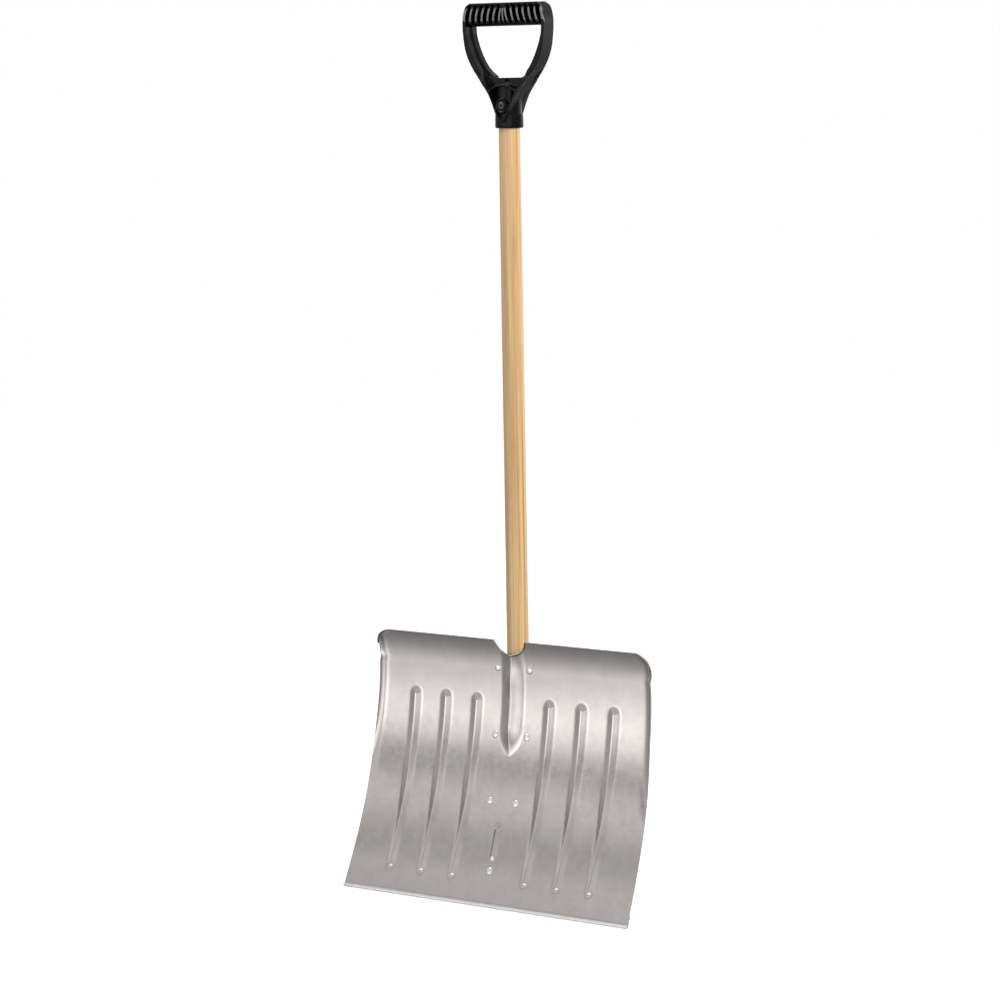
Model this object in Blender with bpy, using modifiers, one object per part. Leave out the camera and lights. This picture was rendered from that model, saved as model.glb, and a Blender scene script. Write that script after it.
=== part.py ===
"""Snow shovel: a pressed aluminium blade riveted to a wooden shaft with a moulded D-grip.

Metres, +Z up along the shaft, X across the blade, the blade's hollow face towards -Y.
The origin is on the shaft's axis, in the flat underside of the grip bar, where a hook would
hold the shovel. Blender 4.5: blender --background --python part.py
"""

import math

import bmesh
import bpy
from mathutils import Matrix, Vector

GAP = 0.0003  # between pieces that touch

# Blade: an 18 inch sheet, described by the distance s along the sheet, up from its lip
LIP_Z = -1.190
BLADE_BACK_Y = -0.0125  # the front face where the sheet stands upright
BLADE_WIDTH = 0.4572
TOP_WIDTH = 0.440
SHEET = 0.0015
LIP_LEAN = math.radians(27)
MIDDLE_LEAN = math.radians(11)
CURL_LEAN = math.radians(-28)
LIP_STRAIGHT = 0.0415
LOWER_RADIUS = 0.760
UPPER_RADIUS = 0.356
UPRIGHT_STRAIGHT = 0.007
CURL_RADIUS = 0.090
CORNER_RADIUS = 0.021
DART_S = 0.331  # where the sides' curl ends in a small pinch under the top corner
DART_DEPTH = 0.0018
CORNER_SPREAD = 0.0004  # how much wider the sheet is above the pinch
SIDE_CURL_RADIUS = 0.016
SIDE_CURL_ANGLE = math.radians(50)
SIDE_CURL_S = (0.12, 0.26)  # where the curl starts, and where it is full
TOP_CURL_SHARE = 0.55  # what is left of it at the top corners
NOTCH_RADIUS = 0.0262
NOTCH_BOTTOM_Z = -0.8562

# Pressings in the blade
RIB_X = (0.0585, 0.1095, 0.1603)
RIB_S = (0.038, 0.294)
RIB_HALF_WIDTH = 0.0125
RIB_END = 0.012  # how far each end of a rib slopes down
RIB_CREST = 0.002
RIB_HEIGHTS = (0.002, 0.005)  # at the bottom and at the top
MIDDLE_RIB_S = (0.061, 0.120)
MIDDLE_RIB_HALF_WIDTH = 0.009
MIDDLE_RIB_HEIGHT = 0.003
CHANNEL_S = (0.210, 0.244)  # the V channel's point, and where it reaches its full width
CHANNEL_HALF_WIDTH = 0.020
CHANNEL_HEIGHT = 0.0105
CHANNEL_TOP_HEIGHT = 0.006
CHANNEL_TOP_S = 0.354
CHANNEL_FADE = 0.045  # how far below the top the channel starts to grow shallower

# Rivets: (name, x, s) on the blade
RIVETS = (
    ("rivet_upper_left", -0.0255, 0.3295),
    ("rivet_upper_right", 0.0255, 0.3295),
    ("rivet_lower_left", -0.0255, 0.2365),
    ("rivet_lower_right", 0.0255, 0.2365),
    ("rivet_mid_left", -0.0208, 0.145),
    ("rivet_mid_right", 0.0208, 0.145),
    ("rivet_tail", 0.0, 0.049),
)
RIVET_SHANK = 0.0024
RIVET_HEAD = 0.0047
RIVET_DOME = 0.0022
RIVET_TAIL_SCALE = 0.9

# Wear strip, folded over the lip
STRIP = 0.0010
STRIP_FRONT_LEG = 0.0026
STRIP_BACK_LEG = 0.0160

# Shaft
SHAFT_TOP_Z = -0.080
SHAFT_BOTTOM_Z = -0.983
SHAFT_TOP_RADIUS = 0.01465
SHAFT_BOTTOM_RADIUS = 0.0155
SHAFT_CHAMFER = 0.002

# Socket bracket, behind the blade
BRACKET = 0.0015
BRACKET_S = (0.040, 0.344)
BRACKET_HALF_WIDTH = 0.034
BRACKET_MID_HALF_WIDTH = 0.030
BRACKET_TAIL_HALF_WIDTH = 0.011
SCREWS = (("shaft_screw_upper", -0.895), ("shaft_screw_lower", -0.955))
SCREW_SHANK = 0.0021
SCREW_HEAD = 0.0045
SCREW_HEAD_HEIGHT = 0.0026
SCREW_LENGTH = 0.020

# D-grip
BAR_RADIUS = 0.016
BAR_DEPTH = 0.029
BAR_Z = 0.0153
GRIP_DEPTH = 0.027
ARM_POINTS = ((0.0560, 0.027), (0.0625, 0.017), (0.0643, 0.0), (0.0605, -0.031),
              (0.0500, -0.055), (0.0360, -0.0735), (0.0250, -0.090), (0.0195, -0.112))
OPENING_POINTS = ((0.0600, 0.004), (0.0590, -0.012), (0.0525, -0.0325), (0.0440, -0.0500),
                  (0.0345, -0.0630), (0.0240, -0.0690))
COLLAR_RADIUS = 0.0195
COLLAR_BOTTOM_Z = -0.1365
COLLAR_TOP_Z = -0.096
SOCKET_RADIUS = 0.0170
SOCKET_TOP_Z = -0.074
SHIELD_POINTS = ((0.0, -0.0770), (0.0120, -0.0795), (0.0210, -0.0860), (0.0165, -0.0980),
                 (0.0118, -0.1080), (0.0085, -0.1200), (0.0, -0.1276))
SHIELD_DEPTH = 0.006
POCKETS = 13
POCKET_PITCH = 0.0088
POCKET_WIDTH = 0.0070
MIDDLE_POCKET_WIDTH = 0.0026
POCKET_HEIGHT = 0.0235
POCKET_DEPTH = 0.021
POCKET_LEAN = math.radians(12)
POCKET_RISE = 0.001  # pockets sit this much above the middle of the bar
BAR_LENGTH = 0.121
UNDERSIDE_WIDTH = 0.114  # the flat cut under the bar, between the arms
UNDERSIDE_HEIGHT = 0.020
BOSS_Z = -0.1065
BOSS_RADIUS = 0.0090
BOSS_Y = 0.0210
PIN_RADIUS = 0.0024
PIN_HEAD = 0.0052
PIN_HEAD_HEIGHT = 0.0018
WASHER_RADIUS = 0.0060
WASHER = 0.0010

ROUND = 32  # sides of a large round shape
SMALL_ROUND = 16


def smooth(value, start, end):
    """0 before start, 1 after end, and a smooth step between."""
    t = min(1.0, max(0.0, (value - start) / (end - start)))
    return t * t * (3 - 2 * t)


# ---------------------------------------------------------------- scene


def clear_scene():
    for obj in list(bpy.data.objects):
        bpy.data.objects.remove(obj, do_unlink=True)


def make_collection(name):
    collection = bpy.data.collections.new(name)
    bpy.context.scene.collection.children.link(collection)
    return collection


def make_material(name, colour, roughness, metallic):
    material = bpy.data.materials.new(name)
    material.use_nodes = True
    shader = material.node_tree.nodes["Principled BSDF"]
    shader.inputs["Base Color"].default_value = (*colour, 1)
    shader.inputs["Roughness"].default_value = roughness
    shader.inputs["Metallic"].default_value = metallic
    return material


def object_from(bm, name, collection, material=None):
    mesh = bpy.data.meshes.new(name)
    bm.to_mesh(mesh)
    bm.free()
    obj = bpy.data.objects.new(name, mesh)
    collection.objects.link(obj)
    if material:
        mesh.materials.append(material)
    return obj


def cylinder(bm, radius, depth, matrix, sides=ROUND):
    bmesh.ops.create_cone(bm, cap_ends=True, segments=sides, radius1=radius, radius2=radius,
                          depth=depth, matrix=matrix)


def box(bm, size, matrix):
    bmesh.ops.create_cube(bm, size=1, matrix=matrix @ Matrix.Diagonal((*size, 1)))


def cutter(bm, name):
    obj = object_from(bm, name, CUTTERS)
    obj.hide_render = True
    obj.display_type = "WIRE"
    return obj


def boolean(obj, other, operation="DIFFERENCE"):
    modifier = obj.modifiers.new(other.name, "BOOLEAN")
    modifier.operation = operation
    modifier.object = other
    modifier.solver = "EXACT"


def solidify(obj, thickness):
    """Thickens an open sheet away from the face that it shows."""
    modifier = obj.modifiers.new("thickness", "SOLIDIFY")
    modifier.thickness = thickness
    modifier.offset = -1
    modifier.use_even_offset = True


def shade(obj, degrees=30):
    obj.data.shade_smooth()
    obj.data.set_sharp_from_angle(angle=math.radians(degrees))


def turned(name, profile, collection, material, sides=ROUND):
    """A solid turned round Z; the profile runs down its outer side, top to bottom."""
    bm = bmesh.new()
    points = [bm.verts.new((radius, 0, z)) for radius, z in profile]
    for upper, lower in zip(points, points[1:]):
        bm.edges.new((upper, lower))
    obj = object_from(bm, name, collection, material)
    screw = obj.modifiers.new("turn", "SCREW")
    screw.steps = screw.render_steps = sides
    screw.use_merge_vertices = True
    screw.merge_threshold = 0.00001
    return obj


# ---------------------------------------------------------------- the blade's shape


def blade_stretches():
    """The side view from the lip up: (length, lean at its start, lean at its end)."""
    return (
        (LIP_STRAIGHT, LIP_LEAN, LIP_LEAN),
        (LOWER_RADIUS * (LIP_LEAN - MIDDLE_LEAN), LIP_LEAN, MIDDLE_LEAN),
        (UPPER_RADIUS * MIDDLE_LEAN, MIDDLE_LEAN, 0.0),
        (UPRIGHT_STRAIGHT, 0.0, 0.0),
        (CURL_RADIUS * -CURL_LEAN, 0.0, CURL_LEAN),
    )


BLADE_LENGTH = sum(length for length, _, _ in blade_stretches())


def travel(s):
    """(y, z, lean) after s along the side view, from the lip as origin."""
    y = z = 0.0
    lean = LIP_LEAN
    for length, start, end in blade_stretches():
        run = min(s, length)
        turn = (end - start) / length
        lean = start + turn * run
        if turn:
            y += (math.cos(start) - math.cos(lean)) / turn
            z += (math.sin(lean) - math.sin(start)) / turn
        else:
            y += run * math.sin(start)
            z += run * math.cos(start)
        s -= run
        if s <= 0:
            break
    return y, z, lean


UPRIGHT_S = sum(length for length, _, _ in blade_stretches()[:3])
LIP_Y = BLADE_BACK_Y - travel(UPRIGHT_S)[0]


def side_view(s):
    """(y, z, lean) of the sheet's front face in the object's frame."""
    y, z, lean = travel(s)
    return LIP_Y + y, LIP_Z + z, lean


def half_width(s):
    """The flat sheet's half width, with its rounded top corners and the pinches below them."""
    width = (BLADE_WIDTH + (TOP_WIDTH - BLADE_WIDTH) * min(1.0, s / DART_S)) / 2
    width += CORNER_SPREAD * smooth(s, DART_S, DART_S + 0.012)
    width -= DART_DEPTH * math.exp(-(((s - DART_S) / 0.005) ** 2))
    return width - CORNER_RADIUS * (1 - corner_share(s))


def corner_share(s):
    """How much the sheet's edge still faces sideways: 1 below the top corners, 0 on the top edge."""
    into_corner = max(0.0, s - (BLADE_LENGTH - CORNER_RADIUS)) / CORNER_RADIUS
    return math.sqrt(max(0.0, 1 - into_corner**2))


def ridge(offset, half, crest):
    """Across a rib: 1 on its crest, 0 beyond its foot."""
    return min(1.0, max(0.0, (half - abs(offset)) / (half - crest)))


def rib_relief(x, s):
    along = smooth(s, RIB_S[0], RIB_S[0] + RIB_END) * (1 - smooth(s, RIB_S[1] - RIB_END, RIB_S[1]))
    low, high = RIB_HEIGHTS
    height = low + (high - low) * smooth(s, *RIB_S)
    across = max(ridge(abs(x) - centre, RIB_HALF_WIDTH, RIB_CREST) for centre in RIB_X)
    return height * along * across


def middle_rib_relief(x, s):
    start, end = MIDDLE_RIB_S
    ramp = (end - start) / 4
    along = smooth(s, start, start + ramp) * (1 - smooth(s, end - ramp, end))
    return MIDDLE_RIB_HEIGHT * along * ridge(x, MIDDLE_RIB_HALF_WIDTH, RIB_CREST / 2)


def channel_relief(x, s):
    """The sharp V that stands forward over the shaft, from the notch to a rounded point."""
    point, full = CHANNEL_S
    if s <= point:
        return 0.0
    t = min(1.0, (s - point) / (full - point))
    half = CHANNEL_HALF_WIDTH * math.sqrt(1 - (1 - t) ** 2)
    fade = smooth(s, CHANNEL_TOP_S - CHANNEL_FADE, CHANNEL_TOP_S)
    height = CHANNEL_HEIGHT + (CHANNEL_TOP_HEIGHT - CHANNEL_HEIGHT) * fade
    rise = smooth(s, point - 0.006, full)
    return height * rise * max(0.0, 1 - abs(x) / max(half, 1e-6))


def blade_point(x, s):
    """A point of the front face; x is measured along the sheet, so the side's curl shortens it."""
    y, z, lean = side_view(s)
    relief = rib_relief(x, s) + middle_rib_relief(x, s) + channel_relief(x, s)
    curl_arc = SIDE_CURL_RADIUS * SIDE_CURL_ANGLE
    beyond = abs(x) - (half_width(s) - curl_arc)
    at_top = smooth(s, DART_S - 0.004, DART_S + 0.010)
    strength = smooth(s, *SIDE_CURL_S) * (1 + (TOP_CURL_SHARE - 1) * at_top) * corner_share(s)
    if beyond > 0 and strength > 0.001:
        angle = strength * beyond / SIDE_CURL_RADIUS
        radius = SIDE_CURL_RADIUS / strength
        relief += radius * (1 - math.cos(angle))
        x = math.copysign(abs(x) - beyond + radius * math.sin(angle), x)
    return Vector((x, y - relief * math.cos(lean), z + relief * math.sin(lean)))


def mirrored(values):
    return [-value for value in reversed(values)] + [0.0] + list(values)


def grid_sheet(name, columns, rows, place, collection, material):
    """A grid whose every point is placed by its column and its row."""
    bm = bmesh.new()
    bmesh.ops.create_grid(bm, x_segments=columns - 1, y_segments=rows - 1, size=1)
    for vert in bm.verts:
        column = round((vert.co.x + 1) / 2 * (columns - 1))
        row = round((vert.co.y + 1) / 2 * (rows - 1))
        vert.co = place(column, row)
    return object_from(bm, name, collection, material)


def blade_columns():
    """Columns of the right half at fixed places, then those that follow the edge."""
    fixed = [CHANNEL_HALF_WIDTH / 2, CHANNEL_HALF_WIDTH, 0.034]
    for centre in RIB_X:
        fixed += [centre + step for step in (-RIB_HALF_WIDTH, -RIB_CREST, RIB_CREST, RIB_HALF_WIDTH)]
    return fixed


EDGE_STEPS = (1.0, 2 / 3, 1 / 3, 0.0)  # share of the side curl left before the edge


def blade_rows():
    rows = [0.0, 0.020, RIB_S[0], RIB_S[0] + RIB_END / 2, RIB_S[0] + RIB_END]
    rows += [MIDDLE_RIB_S[0], MIDDLE_RIB_S[0] + 0.008, MIDDLE_RIB_S[0] + 0.015, 0.090, 0.105]
    rows += [0.1125, 0.120, 0.140, 0.160, 0.180, 0.200, 0.210, 0.213, 0.218, 0.226, 0.235, 0.244]
    rows += [0.262, RIB_S[1] - RIB_END, RIB_S[1] - RIB_END / 2, RIB_S[1], 0.306]
    rows += [DART_S - 0.006, DART_S, DART_S + 0.006, 0.345]
    rows += [BLADE_LENGTH - CORNER_RADIUS * share for share in (1.0, 0.7, 0.4, 0.2, 0.08, 0.0)]
    return rows


def add_blade(collection, material):
    fixed = blade_columns()
    half = len(fixed) + len(EDGE_STEPS)
    rows = blade_rows()
    curl_arc = SIDE_CURL_RADIUS * SIDE_CURL_ANGLE

    def place(column, row):
        index = abs(column - half) - 1
        sign = -1 if column < half else 1
        s = rows[row]
        if index < 0:
            return blade_point(0.0, s)
        if index < len(fixed):
            return blade_point(sign * fixed[index], s)
        return blade_point(sign * (half_width(s) - curl_arc * EDGE_STEPS[index - len(fixed)]), s)

    blade = grid_sheet("blade", 2 * half + 1, len(rows), place, collection, material)
    solidify(blade, SHEET)
    bm = bmesh.new()
    across = Matrix.Rotation(math.pi / 2, 4, "X")
    notch_centre = Matrix.Translation((0, BLADE_BACK_Y, NOTCH_BOTTOM_Z + NOTCH_RADIUS))
    cylinder(bm, NOTCH_RADIUS, 0.1, notch_centre @ across, 40)
    boolean(blade, cutter(bm, "notch_cutter"))
    boolean(blade, bpy.data.objects["rivet_hole_cutter"])
    shade(blade)
    return blade


# ---------------------------------------------------------------- rivets


def rivet_matrix(x, s):
    """Puts +Z on the sheet's front normal, with the origin on the front face."""
    y, z, lean = side_view(s)
    return Matrix.Translation((x, y, z)) @ Matrix.Rotation(math.pi / 2 - lean, 4, "X")


def add_rivet_hole_cutter():
    bm = bmesh.new()
    for _, x, s in RIVETS:
        cylinder(bm, RIVET_SHANK + GAP, 0.020, rivet_matrix(x, s), SMALL_ROUND)
    cutter(bm, "rivet_hole_cutter")


def dome(radius, height, base_z, sign=1):
    """Profile points of a domed head, from its middle out to its rim."""
    steps = 5
    angles = [math.pi / 2 * (1 - i / steps) for i in range(steps + 1)]
    return [(radius * math.cos(a), base_z + sign * height * math.sin(a)) for a in angles]


def add_rivets(collection, material):
    back = -(SHEET + GAP + BRACKET + 2 * GAP)
    profile = dome(RIVET_HEAD, RIVET_DOME, GAP)
    profile += [(RIVET_SHANK, GAP), (RIVET_SHANK, back)]
    profile += list(reversed(dome(RIVET_HEAD * RIVET_TAIL_SCALE, RIVET_DOME * RIVET_TAIL_SCALE, back, -1)))
    profile[0] = (0.0, profile[0][1])
    profile[-1] = (0.0, profile[-1][1])
    for name, x, s in RIVETS:
        rivet = turned(name, profile, collection, material, SMALL_ROUND)
        shade(rivet)
        rivet.matrix_world = rivet_matrix(x, s)


# ---------------------------------------------------------------- wear strip


def add_wear_strip(collection, material):
    """A strip folded round the lip: a short leg in front, a long one behind."""
    inner = SHEET + 2 * GAP
    outline = ((-GAP, STRIP_FRONT_LEG), (-GAP, -GAP), (inner - GAP, -GAP), (inner - GAP, STRIP_BACK_LEG))
    y, z, lean = side_view(0.0)
    back = Vector((0, math.cos(lean), -math.sin(lean)))
    up = Vector((0, math.sin(lean), math.cos(lean)))
    ends = (-BLADE_WIDTH / 2 - GAP, BLADE_WIDTH / 2 + GAP)

    def place(column, row):
        depth, height = outline[row]
        return Vector((ends[column], y, z)) + back * depth + up * height

    strip = grid_sheet("wear_strip", 2, len(outline), place, collection, material)
    solidify(strip, STRIP)
    return strip


# ---------------------------------------------------------------- shaft and bracket


def shaft_radius(z):
    t = (z - SHAFT_BOTTOM_Z) / (SHAFT_TOP_Z - SHAFT_BOTTOM_Z)
    return SHAFT_BOTTOM_RADIUS + (SHAFT_TOP_RADIUS - SHAFT_BOTTOM_RADIUS) * t


def screw_matrix(z):
    """Puts +Z backwards, with the origin on the bracket's outer face."""
    outer = SHAFT_BOTTOM_RADIUS + GAP + BRACKET
    return Matrix.Translation((0, outer, z)) @ Matrix.Rotation(-math.pi / 2, 4, "X")


def add_screw_hole_cutter():
    bm = bmesh.new()
    for _, z in SCREWS:
        hole = screw_matrix(z) @ Matrix.Translation((0, 0, -SCREW_LENGTH / 2))
        cylinder(bm, SCREW_SHANK + GAP, SCREW_LENGTH + 0.002, hole, SMALL_ROUND)
    cutter(bm, "screw_hole_cutter")


def add_pin_hole_cutter():
    bm = bmesh.new()
    across = Matrix.Translation((0, 0, BOSS_Z)) @ Matrix.Rotation(math.pi / 2, 4, "X")
    cylinder(bm, PIN_RADIUS + GAP, 0.080, across, SMALL_ROUND)
    cutter(bm, "pin_hole_cutter")


def add_shaft(collection, material):
    top, bottom = SHAFT_TOP_RADIUS, SHAFT_BOTTOM_RADIUS
    profile = [(0.0, SHAFT_TOP_Z), (top - SHAFT_CHAMFER, SHAFT_TOP_Z), (top, SHAFT_TOP_Z - SHAFT_CHAMFER)]
    profile += [(bottom, SHAFT_BOTTOM_Z + SHAFT_CHAMFER), (bottom - SHAFT_CHAMFER, SHAFT_BOTTOM_Z)]
    profile += [(0.0, SHAFT_BOTTOM_Z)]
    shaft = turned("shaft", profile, collection, material, 40)
    boolean(shaft, bpy.data.objects["pin_hole_cutter"])
    boolean(shaft, bpy.data.objects["screw_hole_cutter"])
    shade(shaft)


def bracket_fold(s):
    """How far the hump behind the shaft stands out: 1 round the shaft, 0 at the flat tail."""
    return 0.09 * smooth(s, 0.085, 0.115) + 0.91 * smooth(s, 0.178, 0.217)


def bracket_half_width(s):
    width = BRACKET_MID_HALF_WIDTH
    width += (BRACKET_HALF_WIDTH - BRACKET_MID_HALF_WIDTH) * smooth(s, 0.160, 0.200)
    narrow = 1 - smooth(s, 0.050, 0.125)
    width += (BRACKET_TAIL_HALF_WIDTH - width) * narrow
    if s < 0.049:
        width *= math.sqrt(max(0.15, 1 - ((0.049 - s) / 0.012) ** 2))
    return width


def add_bracket(collection, material):
    radius = SHAFT_BOTTOM_RADIUS + GAP
    arc = [math.radians(angle) for angle in (22.5, 45, 67.5, 90)]
    rows = set(row for row in blade_rows() if BRACKET_S[0] < row < BRACKET_S[1])
    rows |= {BRACKET_S[0], 0.041, 0.049, 0.078, 0.134, 0.148, 0.170, 0.185, 0.192, 0.205, BRACKET_S[1]}
    rows = sorted(rows)
    half = len(arc) + 3

    def place(column, row):
        index = abs(column - half) - 1
        sign = -1 if column < half else 1
        s = rows[row]
        y, z, lean = side_view(s)
        flange_y = y + (SHEET + GAP) / math.cos(lean)
        fold = bracket_fold(s)
        squeeze = bracket_half_width(s) / BRACKET_HALF_WIDTH
        squeeze += (1 - squeeze) * smooth(s, 0.178, 0.200)
        if index < len(arc):
            angle = arc[index] if index >= 0 else 0.0
            x, hump_y = radius * math.sin(angle), radius * math.cos(angle)
        else:
            foot = index - len(arc)
            edge = bracket_half_width(s) / squeeze
            x = (radius + 0.0008, radius + 0.0045, edge)[foot]
            hump_y = flange_y + (0.0025, 0.0, 0.0)[foot]
        return Vector((sign * x * squeeze, flange_y + fold * (hump_y - flange_y), z))

    bracket = grid_sheet("socket_bracket", 2 * half + 1, len(rows), place, collection, material)
    solidify(bracket, BRACKET)
    boolean(bracket, bpy.data.objects["rivet_hole_cutter"])
    boolean(bracket, bpy.data.objects["screw_hole_cutter"])
    shade(bracket)


def add_screws(collection, material):
    profile = dome(SCREW_HEAD, SCREW_HEAD_HEIGHT, 2 * GAP)
    profile[0] = (0.0, profile[0][1])
    profile += [(SCREW_SHANK, 2 * GAP), (SCREW_SHANK, -SCREW_LENGTH + 0.005), (0.0, -SCREW_LENGTH)]
    for name, z in SCREWS:
        screw = turned(name, profile, collection, material, SMALL_ROUND)
        shade(screw)
        screw.matrix_world = screw_matrix(z)


# ---------------------------------------------------------------- D-grip


def through(points, steps):
    """A smooth open curve through the points (Catmull-Rom), as a longer list of points."""
    knots = [Vector(point) for point in points]
    knots = [2 * knots[0] - knots[1]] + knots + [2 * knots[-1] - knots[-2]]
    found = []
    for before, start, end, after in zip(knots, knots[1:], knots[2:], knots[3:]):
        for step in range(steps):
            t = step / steps
            bend = 2 * before - 5 * start + 4 * end - after
            twist = 3 * start - before - 3 * end + after
            found.append(start + ((end - before) * t + bend * t**2 + twist * t**3) / 2)
    return found + [knots[-2]]


def outline_solid(name, half_points, depth, steps):
    """A plate across Y whose outline in X and Z is smooth, given by its right half."""
    right = through(half_points, steps)
    points = right + [Vector((-p.x, p.y)) for p in reversed(right) if p.x > 0]
    curve = bpy.data.curves.new(name, "CURVE")
    curve.dimensions = "2D"
    curve.fill_mode = "BOTH"
    curve.extrude = depth / 2
    spline = curve.splines.new("POLY")
    spline.points.add(len(points) - 1)
    for spline_point, point in zip(spline.points, points):
        spline_point.co = (point.x, point.y, 0, 1)
    spline.use_cyclic_u = True
    flat = bpy.data.objects.new(name, curve)
    CUTTERS.objects.link(flat)
    bpy.context.view_layer.update()
    graph = bpy.context.evaluated_depsgraph_get()
    mesh = bpy.data.meshes.new_from_object(flat.evaluated_get(graph))
    bm = bmesh.new()
    bm.from_mesh(mesh)
    bmesh.ops.remove_doubles(bm, verts=bm.verts, dist=0.00001)
    bmesh.ops.transform(bm, matrix=Matrix.Rotation(math.pi / 2, 4, "X"), verts=bm.verts)
    bmesh.ops.recalc_face_normals(bm, faces=bm.faces)
    bpy.data.objects.remove(flat)
    return bm


def add_grip(collection, material):
    grip = object_from(outline_solid("d_grip", ARM_POINTS, GRIP_DEPTH, 3), "d_grip", collection, material)
    boolean(grip, cutter(outline_solid("opening", OPENING_POINTS, 0.1, 3), "opening_cutter"))

    for side in (-1, 1):
        recess = outline_solid("shield", SHIELD_POINTS, 0.020, 2)
        reach = GRIP_DEPTH / 2 - SHIELD_DEPTH + 0.010
        bmesh.ops.translate(recess, verts=recess.verts, vec=(0, side * reach, 0))
        boolean(grip, cutter(recess, "shield_cutter" + ("_front" if side < 0 else "_back")))

    across = Matrix.Rotation(math.pi / 2, 4, "X")
    bm = bmesh.new()
    centre = Matrix.Translation((0, 0, (COLLAR_BOTTOM_Z + COLLAR_TOP_Z) / 2))
    cylinder(bm, COLLAR_RADIUS, COLLAR_TOP_Z - COLLAR_BOTTOM_Z, centre, 36)
    boolean(grip, cutter(bm, "collar"), "UNION")

    bm = bmesh.new()
    centre = Matrix.Translation((0, 0, (SOCKET_TOP_Z + COLLAR_TOP_Z) / 2))
    cylinder(bm, SOCKET_RADIUS, SOCKET_TOP_Z - COLLAR_TOP_Z + 0.004, centre, 36)
    boolean(grip, cutter(bm, "socket"), "UNION")

    bm = bmesh.new()
    lying = Matrix.Translation((0, 0, BAR_Z)) @ Matrix.Diagonal((1, BAR_DEPTH / 2 / BAR_RADIUS, 1, 1))
    cylinder(bm, BAR_RADIUS, BAR_LENGTH, lying @ Matrix.Rotation(math.pi / 2, 4, "Y"), 36)
    boolean(grip, cutter(bm, "bar"), "UNION")

    bm = bmesh.new()
    cylinder(bm, BOSS_RADIUS, 2 * BOSS_Y, Matrix.Translation((0, 0, BOSS_Z)) @ across, 24)
    boolean(grip, cutter(bm, "boss"), "UNION")

    bm = bmesh.new()
    box(bm, (UNDERSIDE_WIDTH, 0.1, UNDERSIDE_HEIGHT), Matrix.Translation((0, 0, -UNDERSIDE_HEIGHT / 2)))
    boolean(grip, cutter(bm, "underside_cutter"))

    bm = bmesh.new()
    for index in range(POCKETS):
        step = index - POCKETS // 2
        side = (step > 0) - (step < 0)
        width = POCKET_WIDTH if side else MIDDLE_POCKET_WIDTH
        lean = Matrix.Rotation(-POCKET_LEAN * side, 4, "Y")
        place = Matrix.Translation((step * POCKET_PITCH, POCKET_DEPTH / 2 - BAR_RADIUS, BAR_Z + POCKET_RISE))
        box(bm, (width, POCKET_DEPTH, POCKET_HEIGHT), place @ lean)
    boolean(grip, cutter(bm, "pocket_cutter"))

    bm = bmesh.new()
    bore = SHAFT_TOP_RADIUS + 0.0002 + GAP
    centre = Matrix.Translation((0, 0, (COLLAR_BOTTOM_Z - 0.01 + SHAFT_TOP_Z + GAP) / 2))
    cylinder(bm, bore, SHAFT_TOP_Z + GAP - COLLAR_BOTTOM_Z + 0.01, centre, 40)
    boolean(grip, cutter(bm, "bore_cutter"))
    boolean(grip, bpy.data.objects["pin_hole_cutter"])
    shade(grip)


def add_grip_rivet(collection, material):
    """A pin right through the socket and the shaft, clenched over a washer at the back."""
    front, back = BOSS_Y + GAP, -(BOSS_Y + WASHER + 2 * GAP)
    profile = dome(PIN_HEAD, PIN_HEAD_HEIGHT, front)
    profile[0] = (0.0, profile[0][1])
    profile += [(PIN_RADIUS, front), (PIN_RADIUS, back - GAP)]
    profile += list(reversed(dome(PIN_HEAD * 0.8, PIN_HEAD_HEIGHT, back - GAP, -1)))
    profile[-1] = (0.0, profile[-1][1])
    rivet = turned("grip_rivet", profile, collection, material, 20)
    shade(rivet)
    rivet.matrix_world = Matrix.Translation((0, 0, BOSS_Z)) @ Matrix.Rotation(math.pi / 2, 4, "X")

    inner = PIN_RADIUS + GAP
    ring = [(inner, WASHER), (WASHER_RADIUS, WASHER), (WASHER_RADIUS, 0.0), (inner, 0.0), (inner, WASHER)]
    washer = turned("grip_washer", ring, collection, material, 24)
    shade(washer)
    place = Matrix.Translation((0, BOSS_Y + GAP, BOSS_Z))
    washer.matrix_world = place @ Matrix.Rotation(-math.pi / 2, 4, "X")


# ---------------------------------------------------------------- assembly

clear_scene()
SHOVEL = make_collection("snow_shovel")
CUTTERS = make_collection("cutters")

aluminium = make_material("satin_aluminium", (0.52, 0.49, 0.48), 0.38, 1.0)
rivet_metal = make_material("rivet_aluminium", (0.80, 0.79, 0.77), 0.30, 1.0)
steel = make_material("galvanised_steel", (0.62, 0.63, 0.64), 0.42, 1.0)
wood = make_material("lacquered_softwood", (0.74, 0.50, 0.27), 0.38, 0.0)
plastic = make_material("black_plastic", (0.012, 0.013, 0.013), 0.42, 0.0)

add_rivet_hole_cutter()
add_screw_hole_cutter()
add_pin_hole_cutter()
add_blade(SHOVEL, aluminium)
add_wear_strip(SHOVEL, steel)
add_rivets(SHOVEL, rivet_metal)
add_shaft(SHOVEL, wood)
add_bracket(SHOVEL, steel)
add_screws(SHOVEL, steel)
add_grip(SHOVEL, plastic)
add_grip_rivet(SHOVEL, steel)
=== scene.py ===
"""Looks of the snow shovel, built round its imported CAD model. Metres, the CAD model's frame."""

import math

import bmesh
import bpy
from mathutils import Matrix, Vector


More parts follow.
